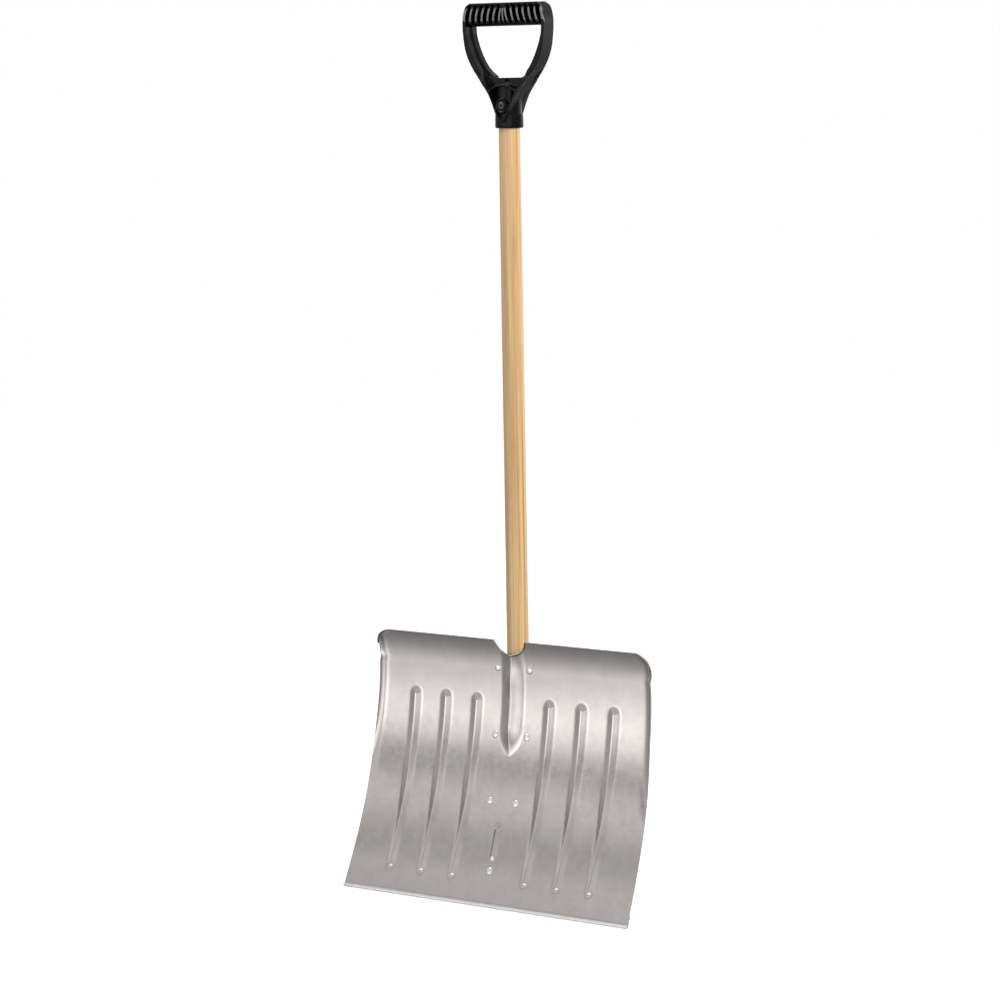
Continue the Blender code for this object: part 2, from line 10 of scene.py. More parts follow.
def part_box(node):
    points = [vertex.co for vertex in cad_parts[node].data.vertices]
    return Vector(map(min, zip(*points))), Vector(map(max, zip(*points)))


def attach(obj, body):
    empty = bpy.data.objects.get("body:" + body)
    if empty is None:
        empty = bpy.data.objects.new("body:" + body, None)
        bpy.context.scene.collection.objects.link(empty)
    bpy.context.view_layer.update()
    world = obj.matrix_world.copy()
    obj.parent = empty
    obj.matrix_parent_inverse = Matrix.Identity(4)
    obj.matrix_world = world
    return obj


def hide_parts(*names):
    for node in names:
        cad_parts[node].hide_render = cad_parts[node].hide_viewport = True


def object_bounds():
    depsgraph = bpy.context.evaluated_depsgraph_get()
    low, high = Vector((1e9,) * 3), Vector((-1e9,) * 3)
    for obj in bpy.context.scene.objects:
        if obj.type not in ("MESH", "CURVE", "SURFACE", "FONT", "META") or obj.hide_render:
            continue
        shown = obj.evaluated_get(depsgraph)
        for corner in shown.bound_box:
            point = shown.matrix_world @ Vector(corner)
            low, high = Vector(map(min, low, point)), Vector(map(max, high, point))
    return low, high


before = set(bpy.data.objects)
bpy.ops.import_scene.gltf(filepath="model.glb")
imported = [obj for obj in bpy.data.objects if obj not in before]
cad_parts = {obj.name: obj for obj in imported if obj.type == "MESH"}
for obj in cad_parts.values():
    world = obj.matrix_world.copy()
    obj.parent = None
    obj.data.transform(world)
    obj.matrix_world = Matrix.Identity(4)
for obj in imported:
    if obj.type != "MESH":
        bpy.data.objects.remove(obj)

CAD_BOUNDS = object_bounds()
SHAFT_LOW, SHAFT_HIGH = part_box("shaft")


# ---------------------------------------------------------------- numbers and points


def smooth(value, start, end):
    """0 before start, 1 after end, and a smooth step between."""
    t = min(1.0, max(0.0, (value - start) / (end - start)))
    return t * t * (3 - 2 * t)


def between(low, high, share):
    return low + (high - low) * share


def quarter(steps):
    """Angles from 0 to a right angle, both included."""
    return [math.pi / 2 * i / steps for i in range(steps + 1)]


def spread(stops):
    """Places along a line, from (place, step to the next) pairs."""
    found = []
    for (start, step), (end, _) in zip(stops, stops[1:]):
        count = max(1, math.ceil((end - start) / step - 1e-6))
        found += [start + (end - start) * i / count for i in range(count)]
    return found + [stops[-1][0]]


def through(points, steps):
    """A smooth open curve through the points (Catmull-Rom), as a longer list of points."""
    knots = [Vector(point) for point in points]
    knots = [2 * knots[0] - knots[1]] + knots + [2 * knots[-1] - knots[-2]]
    found = []
    for before, start, end, after in zip(knots, knots[1:], knots[2:], knots[3:]):
        for step in range(steps):
            t = step / steps
            bend = 2 * before - 5 * start + 4 * end - after
            twist = 3 * start - before - 3 * end + after
            found.append(start + ((end - before) * t + bend * t**2 + twist * t**3) / 2)
    return found + [knots[-2]]


def both_sides(half_points, steps):
    """A whole outline from its right half, both ends on the middle or not."""
    right = through(half_points, steps)
    return [(p.x, p.y) for p in right] + [(-p.x, p.y) for p in reversed(right) if p.x > 1e-6]


# ---------------------------------------------------------------- meshes


def object_from(bm, name, material=None):
    mesh = bpy.data.meshes.new(name)
    bm.to_mesh(mesh)
    bm.free()
    obj = bpy.data.objects.new(name, mesh)
    bpy.context.scene.collection.objects.link(obj)
    if material:
        mesh.materials.append(material)
    return obj


def baked(obj, name, material=None, angle=0):
    """The object with its modifiers applied, as a new smooth-shaded mesh; the old one goes."""
    bpy.context.view_layer.update()
    graph = bpy.context.evaluated_depsgraph_get()
    mesh = bpy.data.meshes.new_from_object(obj.evaluated_get(graph))
    mesh.transform(obj.matrix_world)
    bpy.data.objects.remove(obj, do_unlink=True)
    mesh.name = name
    mesh.materials.clear()
    if material:
        mesh.materials.append(material)
    mesh.shade_smooth()
    if angle:
        mesh.set_sharp_from_angle(angle=math.radians(angle))
    result = bpy.data.objects.new(name, mesh)
    bpy.context.scene.collection.objects.link(result)
    return result


def boolean(obj, other, operation="DIFFERENCE"):
    """Applies one exact Boolean with a throw-away object."""
    modifier = obj.modifiers.new(other.name, "BOOLEAN")
    modifier.operation = operation
    modifier.object = other
    modifier.solver = "EXACT"
    result = baked(obj, obj.name.split(".")[0])
    bpy.data.objects.remove(other, do_unlink=True)
    return result


def cylinders(name, radius, depth, places, sides):
    """One object of equal cylinders, each along its place's Z."""
    bm = bmesh.new()
    for place in places:
        bmesh.ops.create_cone(bm, cap_ends=True, segments=sides, radius1=radius, radius2=radius,
                              depth=depth, matrix=place)
    return object_from(bm, name)


def box(name, size, place):
    bm = bmesh.new()
    bmesh.ops.create_cube(bm, size=1, matrix=place @ Matrix.Diagonal((*size, 1)))
    return object_from(bm, name)


def prism(name, points, low, high, axis="Y"):
    """A closed outline extruded between two places on an axis. Its points are (x, z), or (y, z) along X."""
    bm = bmesh.new()

    def place(point, depth):
        return (point[0], depth, point[1]) if axis == "Y" else (depth, point[0], point[1])

    near = [bm.verts.new(place(p, low)) for p in points]
    far = [bm.verts.new(place(p, high)) for p in points]
    bm.faces.new(near)
    bm.faces.new(list(reversed(far)))
    for i in range(len(points)):
        j = (i + 1) % len(points)
        bm.faces.new((near[j], near[i], far[i], far[j]))
    bmesh.ops.recalc_face_normals(bm, faces=bm.faces)
    return object_from(bm, name)


def turned(name, profile, material, place, sides, angle):
    """A solid turned round Z. The profile runs down its outer side; edges above the angle stay sharp."""
    bm = bmesh.new()
    turns = [2 * math.pi * i / sides for i in range(sides)]
    rings = []
    for radius, z in profile:
        if radius < 1e-7:
            rings.append([bm.verts.new((0, 0, z))])
        else:
            rings.append([bm.verts.new((radius * math.cos(a), radius * math.sin(a), z)) for a in turns])
    for upper, lower in zip(rings, rings[1:]):
        for i in range(sides):
            j = (i + 1) % sides
            around = ((upper, i), (lower, i), (lower, j), (upper, j))
            corners = list(dict.fromkeys(ring[turn % len(ring)] for ring, turn in around))
            if len(corners) > 2:
                bm.faces.new(corners)
    bmesh.ops.recalc_face_normals(bm, faces=bm.faces)
    obj = object_from(bm, name, material)
    obj.data.transform(place)
    obj.data.shade_smooth()
    obj.data.set_sharp_from_angle(angle=math.radians(angle))
    return obj


def dome(radius, height, base_z, steps):
    """A turned profile from the middle of a low dome to its rim; a negative height points down."""
    return [(radius * math.cos(a), base_z + height * math.sin(a)) for a in reversed(quarter(steps))]


def grid_sheet(name, columns, rows, place, material):
    """A sheet without thickness, whose points come from place(column, row)."""
    bm = bmesh.new()
    verts = [[bm.verts.new(place(column, row)) for row in range(rows)] for column in range(columns)]
    for left, right in zip(verts, verts[1:]):
        for row in range(rows - 1):
            bm.faces.new((left[row], right[row], right[row + 1], left[row + 1]))
    bmesh.ops.remove_doubles(bm, verts=bm.verts, dist=1e-6)
    return object_from(bm, name, material)


def thicken(obj, thickness, edge_round):
    """Gives a sheet its thickness on the far side, and rounds its cut edges."""
    modifier = obj.modifiers.new("thickness", "SOLIDIFY")
    modifier.thickness = thickness
    modifier.offset = -1
    modifier.use_even_offset = True
    rounding = obj.modifiers.new("edges", "BEVEL")
    rounding.width = edge_round
    rounding.segments = 2
    rounding.limit_method = "ANGLE"
    rounding.angle_limit = math.radians(62)


# ---------------------------------------------------------------- camera, floor, light

CAMERA_PLACE = Vector((2.1438, -3.4710, -0.0772))
CAMERA_YAW, CAMERA_PITCH, CAMERA_ROLL = math.radians(32.0), math.radians(-7.80), math.radians(0.988)
SENSOR_WIDTH, LENS = 36, 108  # millimetres
FLOOR_HALF, FLOOR_DROP = 5, 0.0005

# the studio's brightness: (place on the ramp, brightness), from straight down to straight up
HEIGHT_STOPS = (
    (0.00, 0.24), (0.12, 0.28), (0.22, 0.47), (0.30, 0.72), (0.42, 1.04), (0.49, 1.36), (0.52, 1.50),
    (0.585, 1.56), (0.602, 0.20), (0.622, 0.26), (0.640, 0.98), (0.675, 1.00), (0.712, 0.48),
    (0.732, 0.48), (0.762, 0.95), (0.795, 0.80), (0.82, 0.55), (0.90, 0.60), (1.0, 0.9),
)
# what multiplies it, from the far left to the far right, up to the heights where the sides grow even
SIDE_STOPS = (
    (0.0, 0.33), (0.07, 0.38), (0.13, 0.53), (0.19, 0.80), (0.25, 1.02), (0.30, 1.30), (0.40, 1.45),
    (0.46, 1.10), (0.56, 0.60), (0.64, 0.92), (0.70, 1.00), (0.77, 1.12), (0.84, 0.55), (0.90, 0.32),
    (0.95, 0.30),
)
EVEN_HEIGHTS, EVEN_SIDES = (0.16, 0.36), 0.95


def add_camera():
    camera = bpy.data.objects.new("camera", bpy.data.cameras.new("camera"))
    bpy.context.scene.collection.objects.link(camera)
    camera.data.sensor_width = SENSOR_WIDTH
    camera.data.lens = LENS
    camera.data.clip_end = 60
    turn = Matrix.Rotation(CAMERA_YAW, 4, "Z") @ Matrix.Rotation(math.pi / 2 + CAMERA_PITCH, 4, "X")
    camera.matrix_world = Matrix.Translation(CAMERA_PLACE) @ turn @ Matrix.Rotation(-CAMERA_ROLL, 4, "Z")
    bpy.context.scene.camera = camera


def add_floor(material):
    """A pale floor just under the shovel's lower edge."""
    z = CAD_BOUNDS[0][2] - FLOOR_DROP
    bm = bmesh.new()
    corners = ((-FLOOR_HALF, -FLOOR_HALF), (FLOOR_HALF, -FLOOR_HALF), (FLOOR_HALF, FLOOR_HALF),
               (-FLOOR_HALF, FLOOR_HALF))
    bm.faces.new([bm.verts.new((x, y, z)) for x, y in corners])
    floor = object_from(bm, "studio_floor", material)
    floor.visible_glossy = False
    floor.visible_diffuse = False


def area_light(name, place, target, size, energy, reflected=True):
    light = bpy.data.lights.new(name, "AREA")
    light.shape = "RECTANGLE"
    light.size, light.size_y = size
    light.energy = energy
    obj = bpy.data.objects.new(name, light)
    direction = Vector(target) - Vector(place)
    obj.matrix_world = Matrix.Translation(place) @ direction.to_track_quat("-Z", "Y").to_matrix().to_4x4()
    obj.visible_glossy = reflected
    bpy.context.scene.collection.objects.link(obj)


def add_lights():
    """Two lights that shape the wood and aren't reflected, and two for small highlights."""
    area_light("key_right", (2.9, -0.41, 0.9), (0, 0, -0.5), (1.2, 2.2), energy=125, reflected=False)
    area_light("strip_rear_right", (2.3, 1.7, -0.1), (0, 0, -0.5), (0.35, 2.2), energy=9, reflected=False)
    area_light("strip_front_right", (1.95, -2.55, 0.3), (0, 0, -0.1), (0.18, 1.3), energy=4)
    area_light("grip_strip", (-0.50, -0.42, 0.66), (0, 0, 0), (0.50, 0.30), energy=6)


def ramp(tree, stops):
    """A colour ramp from (place, grey or colour) stops."""
    node = tree.nodes.new("ShaderNodeValToRGB")
    elements = node.color_ramp.elements
    while len(elements) < len(stops):
        elements.new(0.5)
    for element, (position, colour) in zip(elements, stops):
        element.position = position
        element.color = (colour, colour, colour, 1) if isinstance(colour, float) else (*colour, 1)
    return node


def add_world():
    """A studio whose brightness changes with height and side, and is plain white to the camera."""
    world = bpy.data.worlds.new("studio")
    world.use_nodes = True
    bpy.context.scene.world = world
    tree = world.node_tree
    nodes, links = tree.nodes, tree.links
    direction = nodes.new("ShaderNodeTexCoord")
    split = nodes.new("ShaderNodeSeparateXYZ")
    links.new(direction.outputs["Generated"], split.inputs[0])

    def share(output, low, high):
        node = nodes.new("ShaderNodeMapRange")
        node.inputs["From Min"].default_value = low
        node.inputs["From Max"].default_value = high
        links.new(output, node.inputs["Value"])
        return node.outputs["Result"]

    heights = ramp(tree, HEIGHT_STOPS)
    links.new(share(split.outputs["Z"], -1, 1), heights.inputs[0])
    sides = ramp(tree, SIDE_STOPS)
    links.new(share(split.outputs["X"], -1, 1), sides.inputs[0])
    even = nodes.new("ShaderNodeMix")
    even.data_type = "FLOAT"
    links.new(share(split.outputs["Z"], *EVEN_HEIGHTS), even.inputs["Factor"])
    links.new(sides.outputs[0], even.inputs["A"])
    even.inputs["B"].default_value = EVEN_SIDES
    product = nodes.new("ShaderNodeMath")
    product.operation = "MULTIPLY"
    links.new(heights.outputs[0], product.inputs[0])
    links.new(even.outputs["Result"], product.inputs[1])
    path = nodes.new("ShaderNodeLightPath")
    mix = nodes.new("ShaderNodeMix")
    mix.data_type = "RGBA"
    links.new(path.outputs["Is Camera Ray"], mix.inputs["Factor"])
    links.new(product.outputs[0], mix.inputs["A"])
    mix.inputs["B"].default_value = (1, 1, 1, 1)
    links.new(mix.outputs["Result"], nodes["Background"].inputs["Color"])


# ---------------------------------------------------------------- materials


def new_material(name, colour, roughness, metallic=0.0):
    """A material with its node tree and shader."""
    material = bpy.data.materials.new(name)
    material.use_nodes = True
    shader = material.node_tree.nodes["Principled BSDF"]
    shader.inputs["Base Color"].default_value = (*colour, 1)
    shader.inputs["Roughness"].default_value = roughness
    shader.inputs["Metallic"].default_value = metallic
    return material, material.node_tree, shader


def noise(tree, scale, detail, stretch=(1, 1, 1), roughness=0.5, distortion=0.0):
    """Noise in the object's own metres; a stretch below 1 draws it out along that axis."""
    place = tree.nodes.new("ShaderNodeTexCoord")
    mapping = tree.nodes.new("ShaderNodeMapping")
    mapping.inputs["Scale"].default_value = stretch
    tree.links.new(place.outputs["Object"], mapping.inputs["Vector"])
    node = tree.nodes.new("ShaderNodeTexNoise")
    node.inputs["Scale"].default_value = scale
    node.inputs["Detail"].default_value = detail
    node.inputs["Roughness"].default_value = roughness
    node.inputs["Distortion"].default_value = distortion
    tree.links.new(mapping.outputs["Vector"], node.inputs["Vector"])
    return node.outputs["Fac"]


def ramped(tree, output, stops):
    """An output sent through a ramp."""
    node = ramp(tree, stops)
    tree.links.new(output, node.inputs[0])
    return node.outputs[0]


def combine(tree, first, second, amount, blend):
    mix = tree.nodes.new("ShaderNodeMix")
    mix.data_type = "RGBA"
    mix.blend_type = blend
    mix.inputs["Factor"].default_value = amount
    tree.links.new(first, mix.inputs["A"])
    tree.links.new(second, mix.inputs["B"])
    return mix.outputs["Result"]


def bump(tree, heights, shader):
    """Chained bumps: (height output, distance in metres, strength)."""
    normal = None
    for height, distance, strength in heights:
        node = tree.nodes.new("ShaderNodeBump")
        node.inputs["Distance"].default_value = distance
        node.inputs["Strength"].default_value = strength
        tree.links.new(height, node.inputs["Height"])
        if normal:
            tree.links.new(normal, node.inputs["Normal"])
        normal = node.outputs["Normal"]
    tree.links.new(normal, shader.inputs["Normal"])


def metal(name, dark, light, roughness, grain_scale, grain_depth, cloud_scale):
    """Satin metal: cloudy tone, a fine speckled grain and uneven gloss."""
    polished, dull = roughness
    material, tree, shader = new_material(name, light, polished, 1.0)
    cloud = ramped(tree, noise(tree, cloud_scale, 4.0, roughness=0.6), [(0.32, dark), (0.68, light)])
    grain = noise(tree, grain_scale, 2.0, roughness=0.7)
    speck = ramped(tree, grain, [(0.30, 0.86), (0.50, 1.0), (0.72, 1.0)])
    tree.links.new(combine(tree, cloud, speck, 0.55, "MULTIPLY"), shader.inputs["Base Color"])
    gloss = ramped(tree, noise(tree, cloud_scale * 3.1, 3.0), [(0.30, dull), (0.70, polished)])
    tree.links.new(gloss, shader.inputs["Roughness"])
    bump(tree, [(grain, grain_depth, 0.5)], shader)
    return material


def wood_material():
    """Lacquered softwood: growth lines along the shaft, pores and a thin clear coat."""
    material, tree, shader = new_material("lacquered_softwood", (0.60, 0.40, 0.21), 0.42)
    lines = noise(tree, 240, 4.0, stretch=(1, 1, 0.012), roughness=0.55, distortion=0.3)
    tone = ramped(tree, lines, [(0.30, (0.36, 0.190, 0.072)), (0.44, (0.53, 0.335, 0.150)),
                                (0.58, (0.61, 0.410, 0.195)), (0.72, (0.67, 0.475, 0.245))])
    broad = noise(tree, 60, 2.0, stretch=(1, 1, 0.03), distortion=0.6)
    shade = ramped(tree, broad, [(0.28, (0.72, 0.64, 0.54)), (0.60, (1.0, 1.0, 1.0))])
    colour = combine(tree, tone, shade, 0.8, "MULTIPLY")
    pores = noise(tree, 900, 2.0, stretch=(1, 1, 0.02), roughness=0.6)
    specks = ramped(tree, pores, [(0.30, (0.62, 0.50, 0.36)), (0.40, (1.0, 1.0, 1.0))])
    tree.links.new(combine(tree, colour, specks, 0.5, "MULTIPLY"), shader.inputs["Base Color"])
    tree.links.new(ramped(tree, lines, [(0.35, 0.36), (0.65, 0.50)]), shader.inputs["Roughness"])
    shader.inputs["Coat Weight"].default_value = 0.5
    shader.inputs["Coat Roughness"].default_value = 0.22
    bump(tree, [(lines, 0.00012, 0.35), (pores, 0.00006, 0.3)], shader)
    return material


def bar_front_edge(tree):
    """1 on the fins' front edges, where the plastic gets its painted highlight, found from the distance to
    the hand bar's axis, and 0 elsewhere.
    """
    place = tree.nodes.new("ShaderNodeTexCoord")
    # the bar's oval section becomes a circle of radius 0.5 round the origin
    from_bar = tree.nodes.new("ShaderNodeMapping")
    from_bar.inputs["Scale"].default_value = (0, 0.5 / BAR_HALF_DEPTH, 0.5 / BAR_RADIUS)
    from_bar.inputs["Location"].default_value = (0, 0, -0.5 * BAR_Z / BAR_RADIUS)
    tree.links.new(place.outputs["Object"], from_bar.inputs["Vector"])
    distance = tree.nodes.new("ShaderNodeVectorMath")
    distance.operation = "LENGTH"
    tree.links.new(from_bar.outputs["Vector"], distance.inputs[0])
    skin = ramped(tree, distance.outputs["Value"], [(0.43, 0.0), (0.475, 1.0), (0.52, 1.0), (0.54, 0.0)])
    split = tree.nodes.new("ShaderNodeSeparateXYZ")
    tree.links.new(from_bar.outputs["Vector"], split.inputs[0])
    front = tree.nodes.new("ShaderNodeMath")
    front.operation = "MULTIPLY"
    front.inputs[1].default_value = -1.0
    tree.links.new(split.outputs["Y"], front.inputs[0])
    facing = ramped(tree, front.outputs[0], [(0.34, 0.0), (0.40, 1.0)])
    return combine(tree, skin, facing, 1.0, "MULTIPLY")


def plastic_material():
    """Black moulded plastic: fine mould texture, faint flow marks, and a painted highlight of pale grey on
    the fins' front edges.
    """
    material, tree, shader = new_material("black_plastic", (0.014, 0.016, 0.016), 0.38)
    flow = noise(tree, 45, 3.0, stretch=(1, 1, 0.35), roughness=0.55, distortion=0.4)
    tone = ramped(tree, flow, [(0.3, (0.0016, 0.0020, 0.0021)), (0.7, (0.0042, 0.0050, 0.0052))])
    # painted highlight: a pale grey added to the base colour on the fins' front edges
    highlight_grey = tree.nodes.new("ShaderNodeRGB")
    highlight_grey.outputs[0].default_value = (0.150, 0.158, 0.160, 1)
    painted_highlight = combine(tree, bar_front_edge(tree), highlight_grey.outputs[0], 1.0, "MULTIPLY")
    tree.links.new(combine(tree, tone, painted_highlight, 1.0, "ADD"), shader.inputs["Base Color"])
    gloss = ramped(tree, noise(tree, 160, 3.0), [(0.30, 0.22), (0.70, 0.34)])
    tree.links.new(gloss, shader.inputs["Roughness"])
    shader.inputs["Specular IOR Level"].default_value = 0.15
    bump(tree, [(noise(tree, 1500, 2.0), 0.00003, 0.4)], shader)
    return material


def galvanised_material():
    """Zinc-coated steel: pale crystals of slightly different tone and gloss."""
    material, tree, shader = new_material("galvanised_steel", (0.62, 0.63, 0.64), 0.40, 1.0)
    place = tree.nodes.new("ShaderNodeTexCoord")
    cells = tree.nodes.new("ShaderNodeTexVoronoi")
    cells.inputs["Scale"].default_value = 160
    cells.inputs["Randomness"].default_value = 1.0
    tree.links.new(place.outputs["Object"], cells.inputs["Vector"])
    grey = tree.nodes.new("ShaderNodeRGBToBW")
    tree.links.new(cells.outputs["Color"], grey.inputs[0])
    tone = ramped(tree, grey.outputs[0], [(0.15, (0.56, 0.575, 0.59)), (0.85, (0.72, 0.73, 0.735))])
    film = ramped(tree, noise(tree, 25, 4.0), [(0.3, (0.86, 0.87, 0.88)), (0.7, (1.0, 1.0, 1.0))])
    tree.links.new(combine(tree, tone, film, 0.8, "MULTIPLY"), shader.inputs["Base Color"])
    tree.links.new(ramped(tree, grey.outputs[0], [(0.2, 0.32), (0.8, 0.48)]), shader.inputs["Roughness"])
    bump(tree, [(noise(tree, 900, 2.0), 0.00003, 0.5)], shader)
    return material


def floor_material():
    """A pale, slightly cloudy floor that glows a little, so that it ends without a horizon."""
    material, tree, shader = new_material("pale_floor", (0.93, 0.93, 0.93), 0.9)
    tone = ramped(tree, noise(tree, 6, 2.0), [(0.3, (0.92, 0.92, 0.92)), (0.7, (0.945, 0.945, 0.945))])
    tree.links.new(tone, shader.inputs["Base Color"])
    shader.inputs["Specular IOR Level"].default_value = 0.1
    shader.inputs["Emission Color"].default_value = (1, 1, 1, 1)
    shader.inputs["Emission Strength"].default_value = 0.45
    return material


# ---------------------------------------------------------------- the blade's shape

SHEET = 0.0015
GAP = 0.0003  # between one piece and the next
INSET = 0.0001  # what the sheet's sides keep inside the CAD blade
LIP_Z = -1.190
BLADE_BACK_Y = -0.0125
BLADE_WIDTH = 0.4572
TOP_WIDTH = 0.440

# the side view from the lip up; an S is a length along it
LIP_LEAN, MIDDLE_LEAN, CURL_LEAN = math.radians(27), math.radians(11), math.radians(-28)
LIP_STRAIGHT, LOWER_RADIUS, UPPER_RADIUS, UPRIGHT_STRAIGHT, CURL_RADIUS = 0.0415, 0.760, 0.356, 0.007, 0.090
STRETCHES = (
    (LIP_STRAIGHT, LIP_LEAN, LIP_LEAN),
    (LOWER_RADIUS * (LIP_LEAN - MIDDLE_LEAN), LIP_LEAN, MIDDLE_LEAN),
    (UPPER_RADIUS * MIDDLE_LEAN, MIDDLE_LEAN, 0.0),
    (UPRIGHT_STRAIGHT, 0.0, 0.0),
    (CURL_RADIUS * -CURL_LEAN, 0.0, CURL_LEAN),
)
BLADE_LENGTH = sum(length for length, _, _ in STRETCHES)
UPRIGHT_S = sum(length for length, _, _ in STRETCHES[:3])

# top corners, sides and rim
CORNER_RADIUS = 0.021
DART_S, DART_DEPTH, DART_REACH = 0.331, 0.0009, 0.005
CORNER_SPREAD, CORNER_SPREAD_REACH = 0.0004, 0.012
SIDE_CURL_RADIUS, SIDE_CURL_ANGLE = 0.016, math.radians(50)
SIDE_CURL_S = (0.12, 0.26)
TOP_CURL_LOSS, TOP_CURL_LOSS_S = 0.25, (DART_S - 0.004, DART_S + 0.010)
RIM, RIM_TURN, RIM_DROP = 0.0030, 0.0017, 0.4
NOTCH_RADIUS, NOTCH_BOTTOM_Z = 0.0262, -0.8562

# ribs; pairs run from the lower end to the upper one
RIB_X = (0.0585, 0.1095, 0.1603)
RIB_S = (0.034, 0.296)
RIB_HALF_WIDTHS = (0.0095, 0.0134)
RIB_HEIGHTS = (0.0022, 0.0050)
RIB_HIPS = (0.0055, 0.0150)  # how far its ends slope down
RIB_CREST = 0.0019
MIDDLE_RIB_S = (0.061, 0.120)
MIDDLE_RIB_HALF_WIDTH, MIDDLE_RIB_HEIGHT, MIDDLE_RIB_CREST = 0.009, 0.003, 0.0015
MIDDLE_RIB_HIPS = (0.010, 0.014)
FLANK_POWER, FOOT = 1.5, 0.20

# the V channel, from its point to its full width
CHANNEL_S = (0.210, 0.244)
CHANNEL_HALF_WIDTH, CHANNEL_HEIGHT, CHANNEL_TOP_HEIGHT, CHANNEL_TOP_S = 0.020, 0.0105, 0.006, 0.354
CHANNEL_TOP_FADE, CHANNEL_CREST = 0.045, 0.0014
CHANNEL_RISE = (-0.006, 0.042)  # where its height begins and is full, from the point
POINT_POWER, CHANNEL_FLANK_POWER = 0.62, 1.6


def travel(s):
    """(y, z, lean) after s along the side view, from the lip as origin."""
    y = z = 0.0
    lean = LIP_LEAN
    for length, start, end in STRETCHES:
        run = min(s, length)
        turn = (end - start) / length
        lean = start + turn * run
        if turn:
            y += (math.cos(start) - math.cos(lean)) / turn
            z += (math.sin(lean) - math.sin(start)) / turn
        else:
            y += run * math.sin(start)
            z += run * math.cos(start)
        s -= run
        if s <= 0:
            break
    return y, z, lean


LIP_Y = BLADE_BACK_Y - travel(UPRIGHT_S)[0]


def side_view(s):
    y, z, lean = travel(s)
    return LIP_Y + y, LIP_Z + z, lean


def half_width(s):
    """The flat sheet's half width, with the darts below its top corners."""
    width = between(BLADE_WIDTH, TOP_WIDTH, min(1.0, s / DART_S)) / 2
    width += CORNER_SPREAD * smooth(s, DART_S, DART_S + CORNER_SPREAD_REACH)
    return width - DART_DEPTH * math.exp(-(((s - DART_S) / DART_REACH) ** 2)) - INSET


def tent(distance, half, crest):
    """Across a rib: a crest of small radius, nearly straight flanks and soft feet."""
    flank = max(0.0, 1 - math.hypot(distance, crest) / half) ** FLANK_POWER
    return flank * flank / (2 * FOOT) if flank < FOOT else flank - FOOT / 2


def rib_relief(x, s):
    start, end = RIB_S
    if not start < s < end:
        return 0.0
    t = (s - start) / (end - start)
    height = between(*RIB_HEIGHTS, smooth(t, 0, 1))
    half = between(*RIB_HALF_WIDTHS, smooth(t, 0, 0.8))
    lower_hip, upper_hip = RIB_HIPS
    past_hip = max(0.0, (start + lower_hip - s) / lower_hip, (s - (end - upper_hip)) / upper_hip)
    offset = min(abs(abs(x) - centre) for centre in RIB_X)
    return height * tent(math.hypot(offset, past_hip * half), half, RIB_CREST)


def middle_rib_relief(x, s):
    start, end = MIDDLE_RIB_S
    if not start < s < end or abs(x) >= MIDDLE_RIB_HALF_WIDTH:
        return 0.0
    lower_hip, upper_hip = MIDDLE_RIB_HIPS
    past_hip = max(0.0, start + lower_hip - s, s - (end - upper_hip)) / ((lower_hip + upper_hip) / 2)
    offset = math.hypot(x, past_hip * MIDDLE_RIB_HALF_WIDTH)
    return MIDDLE_RIB_HEIGHT * tent(offset, MIDDLE_RIB_HALF_WIDTH, MIDDLE_RIB_CREST)


def channel_relief(x, s):
    """The sharp V that stands forward over the shaft, from the notch to a rounded point."""
    point, full = CHANNEL_S
    if s <= point:
        return 0.0
    t = min(1.0, (s - point) / (full - point))
    half = CHANNEL_HALF_WIDTH * max(1e-6, 1 - (1 - t) ** 2) ** POINT_POWER
    if abs(x) >= half:
        return 0.0
    fade = smooth(s, CHANNEL_TOP_S - CHANNEL_TOP_FADE, CHANNEL_TOP_S)
    height = between(CHANNEL_HEIGHT, CHANNEL_TOP_HEIGHT, fade)
    height *= smooth(s, point + CHANNEL_RISE[0], point + CHANNEL_RISE[1])
    flank = max(0.0, 1 - math.hypot(x, min(CHANNEL_CREST, half / 4)) / half)
    return height * flank**CHANNEL_FLANK_POWER


def blade_point(x, s):
    """A point of the sheet's front face, x from the middle and s up from the lip."""
    y, z, lean = side_view(s)
    relief = rib_relief(x, s) + middle_rib_relief(x, s) + channel_relief(x, s)
    # the sides' curl runs on round the top corners
    width = half_width(s)
    inside, outward = width - abs(x), 1.0
    across, up = abs(x) - (width - CORNER_RADIUS), s - (BLADE_LENGTH - CORNER_RADIUS)
    if across > 0 and up > 0:
        reach = math.hypot(across, up)
        inside, outward = CORNER_RADIUS - reach, across / reach
    strength = smooth(s, *SIDE_CURL_S) * (1 - TOP_CURL_LOSS * smooth(s, *TOP_CURL_LOSS_S)) * outward
    beyond = SIDE_CURL_RADIUS * SIDE_CURL_ANGLE - inside
    if beyond > 0 and strength > 0.001:
        angle = strength * beyond / SIDE_CURL_RADIUS
        radius = SIDE_CURL_RADIUS / strength
        relief += radius * (1 - math.cos(angle))
        x = math.copysign(abs(x) - (beyond - radius * math.sin(angle)) * outward, x)
    return Vector((x, y - relief * math.cos(lean), z + relief * math.sin(lean)))


def top_of_sheet(x):
    """How far up the sheet reaches at x: the rounded corners, and the notch for the shaft."""
    from_edge = max(0.0, half_width(BLADE_LENGTH) - abs(x))
    s = BLADE_LENGTH
    if from_edge < CORNER_RADIUS:
        s -= CORNER_RADIUS - math.sqrt(CORNER_RADIUS**2 - (CORNER_RADIUS - from_edge) ** 2)
    if abs(x) < NOTCH_RADIUS:
        edge_z = NOTCH_BOTTOM_Z + NOTCH_RADIUS - math.sqrt(NOTCH_RADIUS**2 - x * x)
        if edge_z < side_view(BLADE_LENGTH)[1]:
            low, high = UPRIGHT_S, BLADE_LENGTH
            for _ in range(24):
                middle = (low + high) / 2
                if blade_point(x, middle).z < edge_z:
                    low = middle
                else:
                    high = middle
            s = min(s, low)
    return s


